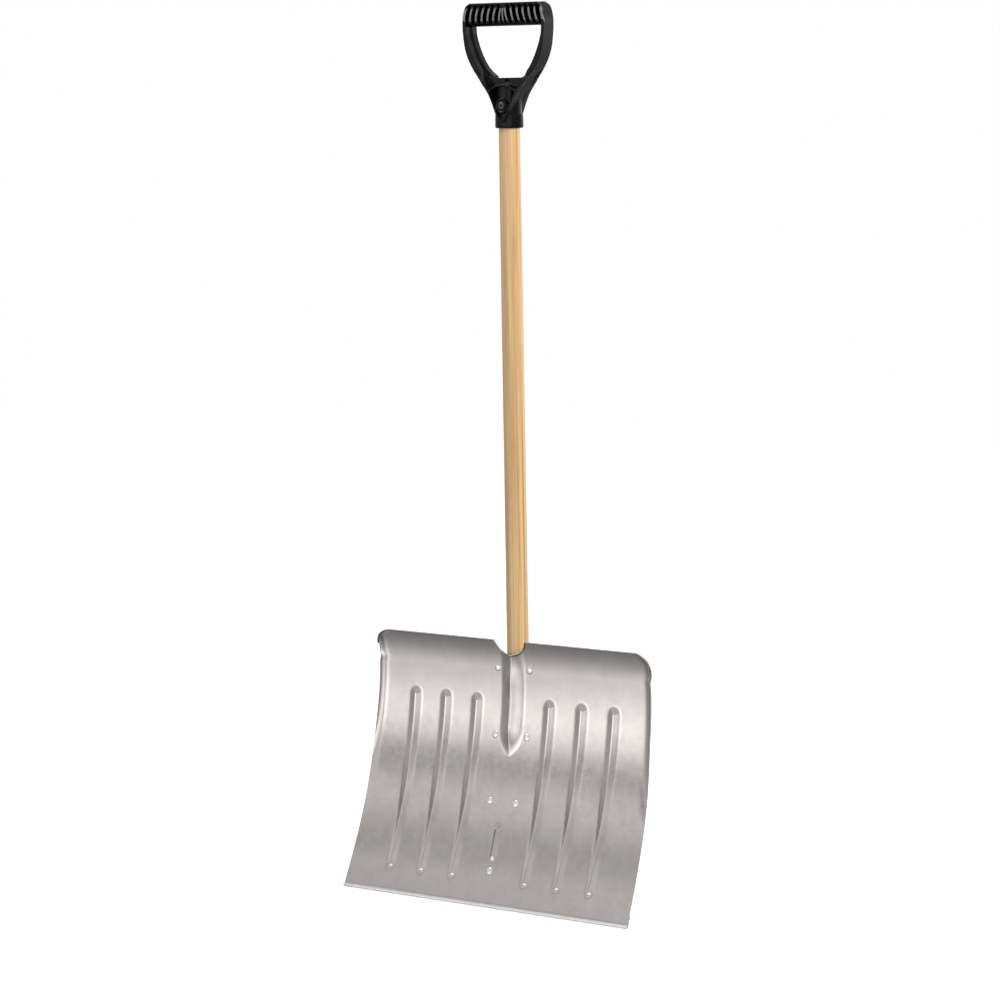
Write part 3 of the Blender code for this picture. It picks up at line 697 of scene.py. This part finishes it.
def blade_columns():
    """Places across the sheet, closer at the channel, the ribs and the sides' curls."""
    stops = [(0.0, 0.0009), (0.021, 0.0016), (0.044, 0.0012)]
    rib_reach = 0.0138
    for centre in RIB_X:
        stops += [(centre - rib_reach, 0.0009), (centre + rib_reach, 0.003)]
    edge = half_width(BLADE_LENGTH)
    stops += [(edge - CORNER_RADIUS - 0.002, 0.0022), (edge - 0.010, 0.0010), (edge - 0.003, 0.0004),
              (edge, 1)]
    right = spread(stops)
    return [-x for x in reversed(right[1:])] + right


def blade_rows():
    """Places up the sheet, closer at the ribs' ends, the middle rib, the channel's point and the rim."""
    return spread([(0.0, 0.006), (0.036, 0.0013), (0.078, 0.002), (0.104, 0.0013), (0.124, 0.004),
                   (0.202, 0.0014), (0.250, 0.003), (0.278, 0.0012), (0.298, 0.0016),
                   (BLADE_LENGTH - 0.0042, 0.0006), (BLADE_LENGTH, 1)])


def add_blade(material):
    across, along = blade_columns(), blade_rows()
    tops = [top_of_sheet(x) for x in across]
    level = RIB_S[1]
    # between these two the columns turn from upright to following the sides
    straight_x, tapered_x = 0.175, 0.195

    def place(column, row):
        # rows stay level up to the ribs' tops, and only then follow the sheet's top edge
        x, s, top = across[column], along[row], tops[column]
        if s > level:
            s = level + (s - level) * (top - level) / (BLADE_LENGTH - level)
        tapered = x * half_width(s) / across[-1]
        x = between(x, tapered, smooth(abs(x), straight_x, tapered_x))
        # the rim is turned a little further forward along the top
        turn = RIM_TURN * max(0.0, (s - (top - RIM)) / RIM) ** 2
        return blade_point(x, s) + Vector((0, -turn, -RIM_DROP * turn))

    sheet = grid_sheet("blade_sheet", len(across), len(along), place, material)
    thicken(sheet, SHEET, edge_round=0.0004)
    sheet = baked(sheet, "blade_sheet", material, angle=50)
    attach(sheet, "root")
    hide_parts("blade")


# ---------------------------------------------------------------- blade rivets and wear strip

BRACKET_SHEET = 0.0015
RIVETS = (
    ("rivet_upper_left", -0.0255, 0.3295),
    ("rivet_upper_right", 0.0255, 0.3295),
    ("rivet_lower_left", -0.0255, 0.2365),
    ("rivet_lower_right", 0.0255, 0.2365),
    ("rivet_mid_left", -0.0208, 0.145),
    ("rivet_mid_right", 0.0208, 0.145),
    ("rivet_tail", 0.0, 0.049),
)  # names, x and s
HEAD_RADIUS, HEAD_HEIGHT, HEAD_EDGE = 0.0050, 0.0015, 0.0049
TAIL_RADIUS, TAIL_HEIGHT = 0.0042, 0.0016
SHANK_RADIUS = 0.0024
STRIP, STRIP_FOLD = 0.0010, 0.0007
STRIP_FRONT_LEG, STRIP_REAR_LEG = 0.0024, 0.0160


def rivet_matrix(x, s):
    """The sheet's front face at (x, s), with Z out of it."""
    y, z, lean = side_view(s)
    return Matrix.Translation((x, y, z)) @ Matrix.Rotation(math.pi / 2 - lean, 4, "X")


def add_rivets(material):
    """A domed head in front of the sheet, and a tail formed behind the bracket."""
    back = -(SHEET + BRACKET_SHEET + 3 * GAP)
    profile = dome(HEAD_RADIUS, HEAD_HEIGHT, 0.0001, 10)
    profile += [(HEAD_EDGE, -GAP), (SHANK_RADIUS, -GAP), (SHANK_RADIUS, back)]
    profile += reversed(dome(TAIL_RADIUS, -TAIL_HEIGHT, back, 8))
    for name, x, s in RIVETS:
        rivet = turned(name + "_head", profile, material, rivet_matrix(x, s), sides=40, angle=50)
        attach(rivet, "root")
        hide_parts(name)


def add_wear_strip(material):
    """A strip folded round the lip: a short leg in front, a long one behind."""
    front, rear = -GAP, SHEET + GAP
    drop = STRIP_FOLD + GAP
    outline = [(front, STRIP_FRONT_LEG), (front, STRIP_FOLD)]
    for a in quarter(5)[1:]:
        outline.append((front + STRIP_FOLD * (1 - math.cos(a)), STRIP_FOLD - drop * math.sin(a)))
    for a in quarter(5):
        outline.append((rear - STRIP_FOLD * (1 - math.sin(a)), STRIP_FOLD - drop * math.cos(a)))
    outline += [(rear, STRIP_REAR_LEG / 2), (rear, STRIP_REAR_LEG)]
    y, z, lean = side_view(0.0)
    back = Vector((0, math.cos(lean), -math.sin(lean)))
    up = Vector((0, math.sin(lean), math.cos(lean)))
    half = BLADE_WIDTH / 2 + GAP
    places = spread([(-half, 0.02), (half, 1)])

    def place(column, row):
        depth, height = outline[row]
        return Vector((places[column], y, z)) + back * depth + up * height

    strip = grid_sheet("wear_strip_fold", len(places), len(outline), place, material)
    thicken(strip, STRIP, edge_round=0.0002)
    strip = baked(strip, "wear_strip_fold", material, angle=40)
    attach(strip, "root")
    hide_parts("wear_strip")


# ---------------------------------------------------------------- shaft, bracket, screws

SHAFT_TOP_RADIUS, SHAFT_FOOT_RADIUS = 0.01465, 0.0155
SHAFT_TOP_Z, SHAFT_FOOT_Z = SHAFT_HIGH.z - 0.0027, SHAFT_LOW.z
SHAFT_EASE = 0.0022
WAVE, WAVE_RATE, WAVE_INSET, FOOT_INSET = 0.00006, 41, 0.00008, 0.00005

BRACKET_WIDE, BRACKET_MIDDLE, BRACKET_TAIL = 0.034, 0.030, 0.011  # half widths, from the top down
BRACKET_END_S, BRACKET_END_ROUND = 0.049, 0.0092
# the flanges beside the hump, as (outwards from it, lift off the blade); None is the bracket's edge
FLANGE = ((0.0008, 0.0025), (0.0012, 0.0012), (0.0022, 0.0004), (0.0045, 0.0), (0.009, 0.0), (None, 0.0))

SCREWS = (("shaft_screw_upper", -0.895), ("shaft_screw_lower", -0.955))
SCREW_HEAD_RADIUS, SCREW_HEAD_HEIGHT = 0.0045, 0.0026
SCREW_RADIUS, SCREW_STRAIGHT, SCREW_LENGTH = 0.0021, 0.015, 0.020
SLOT_LENGTH, SLOT_WIDTH, SLOT_DEPTH, SLOT_MIDDLE = 0.0048, 0.0009, 0.0024, 0.0030


def add_shaft(material):
    """A turned shaft: slightly thicker at its foot, with eased ends and faint waves from sanding."""
    profile = [(0.0, SHAFT_TOP_Z)]
    for a in quarter(6):
        profile.append((SHAFT_TOP_RADIUS - SHAFT_EASE * (1 - math.sin(a)),
                        SHAFT_TOP_Z - SHAFT_EASE * (1 - math.cos(a))))
    count = 60
    for i in range(1, count):
        t = i / count
        z = between(SHAFT_TOP_Z - SHAFT_EASE, SHAFT_FOOT_Z + SHAFT_EASE, t)
        wave = WAVE * math.sin(WAVE_RATE * t) - WAVE_INSET
        profile.append((between(SHAFT_TOP_RADIUS, SHAFT_FOOT_RADIUS, t) + wave, z))
    foot_radius = SHAFT_FOOT_RADIUS - FOOT_INSET
    for a in quarter(6):
        profile.append((foot_radius - SHAFT_EASE * (1 - math.cos(a)),
                        SHAFT_FOOT_Z + SHAFT_EASE * (1 - math.sin(a))))
    profile.append((0.0, SHAFT_FOOT_Z))
    shaft = turned("wooden_shaft", profile, material, Matrix.Identity(4), sides=96, angle=40)
    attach(shaft, "root")
    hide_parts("shaft")


def bracket_fold(s):
    """How much of the hump over the shaft stands up: a low one down the tail, and then all of it."""
    return 0.09 * smooth(s, 0.085, 0.115) + 0.91 * smooth(s, 0.178, 0.217)


def bracket_half_width(s):
    width = between(BRACKET_MIDDLE, BRACKET_WIDE, smooth(s, 0.160, 0.200))
    width = between(width, BRACKET_TAIL, 1 - smooth(s, 0.050, 0.125))
    if s < BRACKET_END_S:
        width *= math.sqrt(max(0.02, 1 - ((BRACKET_END_S - s) / BRACKET_END_ROUND) ** 2))
    return width


def add_bracket(material):
    """A strap pressed over the shaft's end, which follows the blade's back and narrows to a tail."""
    radius = SHAFT_FOOT_RADIUS + GAP
    angles = quarter(14)[1:]
    half = len(angles) + len(FLANGE)
    rows = spread([(0.0400, 0.0007), (0.050, 0.004), (0.170, 0.002), (0.225, 0.005), (0.344, 1)])

    def place(column, row):
        index = abs(column - half) - 1
        sign = -1 if column < half else 1
        s = rows[row]
        y, z, lean = side_view(s)
        flange_y = y + (SHEET + GAP) / math.cos(lean)
        squeeze = bracket_half_width(s) / BRACKET_WIDE
        squeeze = between(squeeze, 1, smooth(s, 0.178, 0.200))
        if index < len(angles):
            angle = angles[index] if index >= 0 else 0.0
            x, hump_y = radius * math.sin(angle), radius * math.cos(angle)
        else:
            out, lift = FLANGE[index - len(angles)]
            x = bracket_half_width(s) / squeeze if out is None else radius + out
            hump_y = flange_y + lift
        return Vector((sign * x * squeeze, between(flange_y, hump_y, bracket_fold(s)), z))

    bracket = grid_sheet("socket_bracket_pressing", 2 * half + 1, len(rows), place, material)
    thicken(bracket, BRACKET_SHEET, edge_round=0.0004)
    bracket = baked(bracket, "socket_bracket_pressing", material, angle=45)
    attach(bracket, "root")
    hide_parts("socket_bracket")


def add_screws(material):
    """Two screws with domed, cross-slotted heads, driven into the shaft from behind."""
    outer = SHAFT_FOOT_RADIUS + GAP + BRACKET_SHEET
    profile = dome(SCREW_HEAD_RADIUS, SCREW_HEAD_HEIGHT, 2 * GAP, 8)
    profile += [(SCREW_RADIUS, 2 * GAP), (SCREW_RADIUS, -SCREW_STRAIGHT), (0.0, -SCREW_LENGTH)]
    for name, z in SCREWS:
        place = Matrix.Translation((0, outer, z)) @ Matrix.Rotation(-math.pi / 2, 4, "X")
        screw = turned(name + "_body", profile, material, place, sides=40, angle=40)
        slot_place = place @ Matrix.Translation((0, 0, SLOT_MIDDLE))
        for size in ((SLOT_LENGTH, SLOT_WIDTH, SLOT_DEPTH), (SLOT_WIDTH, SLOT_LENGTH, SLOT_DEPTH)):
            screw = boolean(screw, box("slot", size, slot_place))
        screw = baked(screw, name + "_body", material, angle=40)
        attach(screw, "root")
        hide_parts(name)


# ---------------------------------------------------------------- D-grip

BAR_Z, BAR_RADIUS, BAR_HALF_DEPTH, BAR_LENGTH = 0.0153, 0.0158, 0.0143, 0.1160
UNDERSIDE = (0.1125, 0.1, 0.004)

# right halves of outlines, as (x, z)
YOKE_OUTLINE = ((0.0525, 0.0308), (0.0588, 0.0262), (0.0626, 0.0165), (0.0641, 0.0), (0.0603, -0.031),
                (0.0498, -0.055), (0.0342, -0.0740), (0.0222, -0.0890), (0.0152, -0.1026),
                (0.0103, -0.1155), (0.0056, -0.1252), (0.0, -0.1292))
OPENING_FRONT = ((0.0598, 0.004), (0.0588, -0.012), (0.0522, -0.0325), (0.0436, -0.0500),
                 (0.0335, -0.0635), (0.0225, -0.0690))
OPENING_REAR = ((0.0578, 0.004), (0.0566, -0.012), (0.0500, -0.0325), (0.0408, -0.0500),
                (0.0292, -0.0632), (0.0190, -0.0690))
FLANK_HOLLOW = ((0.0150, -0.132), (0.0158, -0.100), (0.0200, -0.0915), (0.0275, -0.0820),
                (0.0375, -0.0680), (0.0450, -0.0600), (0.060, -0.075), (0.060, -0.132))
SHIELD = ((0.0, -0.0800), (0.0110, -0.0822), (0.0192, -0.0885), (0.0122, -0.1026),
          (0.0075, -0.1145), (0.0042, -0.1215), (0.0, -0.1252))
SADDLE_FRONT = ((0.0, -0.0772), (0.0110, -0.0792), (0.0205, -0.0848), (0.0250, -0.0800),
                (0.0345, -0.0660), (0.0400, -0.0500))
SADDLE_REAR = ((0.0, -0.0768), (0.0110, -0.0778), (0.0190, -0.0800), (0.0222, -0.0760),
               (0.0250, -0.0675), (0.0290, -0.0600))
# the yoke's side view as (half depth, z), and the collar's profile as (radius, z)
YOKE_SIDE = ((0.0135, 0.06), (0.0135, -0.057), (0.0150, -0.066), (0.0175, -0.073), (0.0190, -0.080),
             (0.0202, -0.090), (0.0209, -0.102), (0.0209, -0.124), (0.0202, -0.129), (0.019, -0.134))
COLLAR = ((0.0, -0.1165), (0.0165, -0.1165), (0.0180, -0.1172), (0.0189, -0.1190), (0.0191, -0.1220),
          (0.0193, -0.1335), (0.0190, -0.1352), (0.0180, -0.1362), (0.0165, -0.1364), (0.0, -0.1364))
YOKE_HALF_DEPTH = 0.0210
OPENING_STEP_Y = 0.0015  # where the opening's front shape gives way to its rear one
HOLLOW_HALF_DEPTH = 0.0105
SHIELD_FLOOR_Y, SADDLE_FLOOR_Y = 0.0040, 0.0045
BEYOND, WELL_BEYOND = 0.05, 0.1  # places outside the grip, where cutters may end

SOCKET_RADIUS, SOCKET_LENGTH, SOCKET_TOP_Z = 0.0170, 0.0560, -0.0802
BORE_RADIUS, BORE_LENGTH, BORE_TOP_Z = 0.01495, 0.070, -0.0824
BOSS_Z, BOSS_HALF_WIDTH, BOSS_HALF_HEIGHT, BOSS_LENGTH = -0.1065, 0.0086, 0.0100, 0.0416
SEAT_HALF_WIDTH, SEAT_HALF_HEIGHT, SEAT_DEPTH, SEAT_Y = 0.0068, 0.0080, 0.0040, 0.0218
SADDLE_NOTCH, SADDLE_NOTCH_PLACE = (0.0064, 0.0100, 0.0075), (0, -0.0030, -0.0710)

POCKETS_A_SIDE, POCKET_PITCH, POCKET_HALF_WIDTH = 6, 0.00925, 0.0034
POCKET_LOW_Z, POCKET_HIGH_Z, POCKET_FLOOR_Y = BAR_Z - 0.0112, BAR_Z + 0.0126, 0.0050
SLIVER_INNER, SLIVER_OUTER, SLIVER_HIGH_Z = 0.0009, 0.0036, BAR_Z + 0.0095
FIN_SLOPE = math.tan(math.radians(12))

VOXEL, KEPT_SHARE = 0.0006, 0.45


def yoke_body():
    """The yoke: deeper where it meets the socket, with the hand opening and hollow flanks."""
    grip = prism("yoke", both_sides(YOKE_OUTLINE, steps=8), -YOKE_HALF_DEPTH, YOKE_HALF_DEPTH)
    side = list(YOKE_SIDE) + [(-y, z) for y, z in reversed(YOKE_SIDE)]
    grip = boolean(grip, prism("side_profile", side, -WELL_BEYOND, WELL_BEYOND, "X"), "INTERSECT")
    front, rear = both_sides(OPENING_FRONT, steps=6), both_sides(OPENING_REAR, steps=6)
    grip = boolean(grip, prism("opening", front, -WELL_BEYOND, OPENING_STEP_Y))
    grip = boolean(grip, prism("opening_rear", rear, OPENING_STEP_Y - 0.0001, WELL_BEYOND))
    for sign in (-1, 1):
        hollow = [(sign * x, z) for x, z in FLANK_HOLLOW]
        grip = boolean(grip, prism("hollow", hollow, -HOLLOW_HALF_DEPTH, HOLLOW_HALF_DEPTH))
    return grip


def cut_recesses(grip):
    """Front and rear: the shield-shaped recess, and the saddle above it."""
    for sign, saddle in ((-1, SADDLE_FRONT), (1, SADDLE_REAR)):
        for name, outline, floor_y in (("shield", both_sides(SHIELD, steps=8), SHIELD_FLOOR_Y),
                                       ("saddle", both_sides(saddle, steps=6), SADDLE_FLOOR_Y)):
            low, high = sorted((sign * floor_y, sign * BEYOND))
            grip = boolean(grip, prism(name, outline, low, high))
    return grip


def ovals(name, half_width, half_height, depth, places_y):
    """Oval cylinders on the rivet's line, from front to rear."""
    stretch = Matrix.Diagonal((half_width / half_height, 1, 1, 1)) @ Matrix.Rotation(math.pi / 2, 4, "X")
    places = [Matrix.Translation((0, y, BOSS_Z)) @ stretch for y in places_y]
    return cylinders(name, half_height, depth, places, 64)


def add_socket_bar_and_boss(grip):
    socket_place = Matrix.Translation((0, 0, SOCKET_TOP_Z - SOCKET_LENGTH / 2))
    grip = boolean(grip, cylinders("socket", SOCKET_RADIUS, SOCKET_LENGTH, [socket_place], 96), "UNION")
    flatten = Matrix.Diagonal((1, BAR_HALF_DEPTH / BAR_RADIUS, 1, 1))
    bar_place = Matrix.Translation((0, 0, BAR_Z)) @ flatten @ Matrix.Rotation(math.pi / 2, 4, "Y")
    grip = boolean(grip, cylinders("bar", BAR_RADIUS, BAR_LENGTH, [bar_place], 96), "UNION")
    grip = boolean(grip, ovals("boss", BOSS_HALF_WIDTH, BOSS_HALF_HEIGHT, BOSS_LENGTH, [0]), "UNION")
    seats = ovals("boss_seats", SEAT_HALF_WIDTH, SEAT_HALF_HEIGHT, SEAT_DEPTH, [-SEAT_Y, SEAT_Y])
    grip = boolean(grip, seats)
    # a flat underside to the bar
    return boolean(grip, box("underside", UNDERSIDE, Matrix.Translation((0, 0, -UNDERSIDE[2] / 2))))


def cut_pockets(grip):
    """The hand bar's pockets, with thin leaning fins between them and one upright fin in the middle."""
    half = POCKET_HALF_WIDTH
    corners = ((-half, POCKET_LOW_Z), (half, POCKET_LOW_Z), (half, POCKET_HIGH_Z), (-half, POCKET_HIGH_Z))
    for index in range(1, POCKETS_A_SIDE + 1):
        for sign in (-1, 1):
            middle = sign * index * POCKET_PITCH
            pocket = [(middle + sign * (x - FIN_SLOPE * (z - BAR_Z)), z) for x, z in corners]
            grip = boolean(grip, prism("pocket", pocket, -BEYOND, POCKET_FLOOR_Y))
    outer = [(SLIVER_OUTER - FIN_SLOPE * (z - BAR_Z), z) for z in (POCKET_LOW_Z, SLIVER_HIGH_Z)]
    sliver = [(SLIVER_INNER, POCKET_LOW_Z), *outer, (SLIVER_INNER, SLIVER_HIGH_Z)]
    for sign in (-1, 1):
        pocket = [(sign * x, z) for x, z in sliver]
        grip = boolean(grip, prism("pocket", pocket, -BEYOND, POCKET_FLOOR_Y))
    return grip


def add_grip(material):
    """The moulded grip: its shape is cut and joined roughly, and then gets one softly rounded skin."""
    grip = yoke_body()
    collar = turned("collar", COLLAR, None, Matrix.Identity(4), sides=96, angle=35)
    grip = boolean(grip, collar, "UNION")
    grip = cut_recesses(grip)
    grip = add_socket_bar_and_boss(grip)
    grip = cut_pockets(grip)
    grip = boolean(grip, box("notch", SADDLE_NOTCH, Matrix.Translation(SADDLE_NOTCH_PLACE)))
    bore_place = Matrix.Translation((0, 0, BORE_TOP_Z - BORE_LENGTH / 2))
    grip = boolean(grip, cylinders("bore", BORE_RADIUS, BORE_LENGTH, [bore_place], 64))

    remesh = grip.modifiers.new("skin", "REMESH")
    remesh.mode = "VOXEL"
    remesh.voxel_size = VOXEL
    remesh.use_smooth_shade = True
    soften = grip.modifiers.new("soften", "SMOOTH")
    soften.factor = 0.5
    soften.iterations = 3
    fewer = grip.modifiers.new("fewer", "DECIMATE")
    fewer.ratio = KEPT_SHARE
    grip = baked(grip, "moulded_grip", material)
    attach(grip, "root")
    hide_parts("d_grip")


# ---------------------------------------------------------------- grip rivet and washer

RIVET_FACE = 0.0198 + GAP  # the rivet head's seat, in front of the shaft's axis
RIVET_HOLE_END, RIVET_TAIL_HOLE_END = 0.0165, -0.0215
RIVET_ROLL = ((0.0011, 0.0006), (0.0016, 0.0012), (0.0024, 0.0014), (0.0040, 0.0012),
              (0.0050, 0.0007), (0.0054, 0.0001), (0.0052, -0.0003), (0.0024, -0.0003))
RIVET_TAIL = ((0.0024, -0.0226), (0.0042, -0.0226), (0.0040, -0.0232), (0.0030, -0.0238),
              (0.0018, -0.0240), (0.0012, -0.0236), (0.0012, RIVET_TAIL_HOLE_END), (0.0, RIVET_TAIL_HOLE_END))
WASHER_HOLE, WASHER_FLAT, WASHER_RADIUS = 0.0027, 0.0056, 0.0060
WASHER_THICKNESS, WASHER_SIDE = 0.0009, 0.0005
WASHER_Y = 0.0210 + GAP


def add_grip_rivet(material):
    """A tubular rivet with a rolled head and a dark centre hole."""
    profile = [(0.0, RIVET_HOLE_END), (RIVET_ROLL[0][0], RIVET_HOLE_END)]
    profile += [(radius, RIVET_FACE + z) for radius, z in RIVET_ROLL]
    profile += RIVET_TAIL
    place = Matrix.Translation((0, 0, BOSS_Z)) @ Matrix.Rotation(math.pi / 2, 4, "X")
    rivet = turned("tubular_rivet", profile, material, place, sides=48, angle=50)
    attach(rivet, "root")
    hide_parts("grip_rivet")


def add_grip_washer(material):
    """The washer under the grip rivet's tail."""
    ring = [(WASHER_HOLE, WASHER_THICKNESS), (WASHER_FLAT, WASHER_THICKNESS), (WASHER_RADIUS, WASHER_SIDE),
            (WASHER_RADIUS, 0.0), (WASHER_HOLE, 0.0), (WASHER_HOLE, WASHER_THICKNESS)]
    place = Matrix.Translation((0, WASHER_Y, BOSS_Z)) @ Matrix.Rotation(-math.pi / 2, 4, "X")
    washer = turned("plain_washer", ring, material, place, sides=48, angle=30)
    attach(washer, "root")
    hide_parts("grip_washer")


# ---------------------------------------------------------------- assembly

bpy.context.scene.view_settings.view_transform = "Standard"
add_camera()
add_world()
add_lights()
add_floor(floor_material())

aluminium = metal("satin_aluminium", (0.555, 0.520, 0.508), (0.600, 0.566, 0.553), roughness=(0.13, 0.19),
                  grain_scale=1050, grain_depth=0.00009, cloud_scale=40)
rivet_metal = metal("rivet_aluminium", (0.80, 0.79, 0.78), (0.90, 0.89, 0.88), roughness=(0.24, 0.34),
                    grain_scale=900, grain_depth=0.00004, cloud_scale=60)
plated = metal("plated_steel", (0.50, 0.50, 0.51), (0.62, 0.62, 0.63), roughness=(0.26, 0.38),
               grain_scale=900, grain_depth=0.00004, cloud_scale=90)
dark_plated = metal("dark_plated_steel", (0.050, 0.053, 0.055), (0.085, 0.088, 0.090), roughness=(0.30, 0.42),
                    grain_scale=900, grain_depth=0.00004, cloud_scale=90)
bright_zinc = metal("bright_zinc", (0.84, 0.85, 0.86), (0.92, 0.93, 0.93), roughness=(0.34, 0.44),
                    grain_scale=900, grain_depth=0.00004, cloud_scale=60)

add_blade(aluminium)
add_rivets(rivet_metal)
add_wear_strip(bright_zinc)
add_shaft(wood_material())
add_bracket(galvanised_material())
add_screws(plated)
add_grip(plastic_material())
add_grip_rivet(dark_plated)
add_grip_washer(dark_plated)
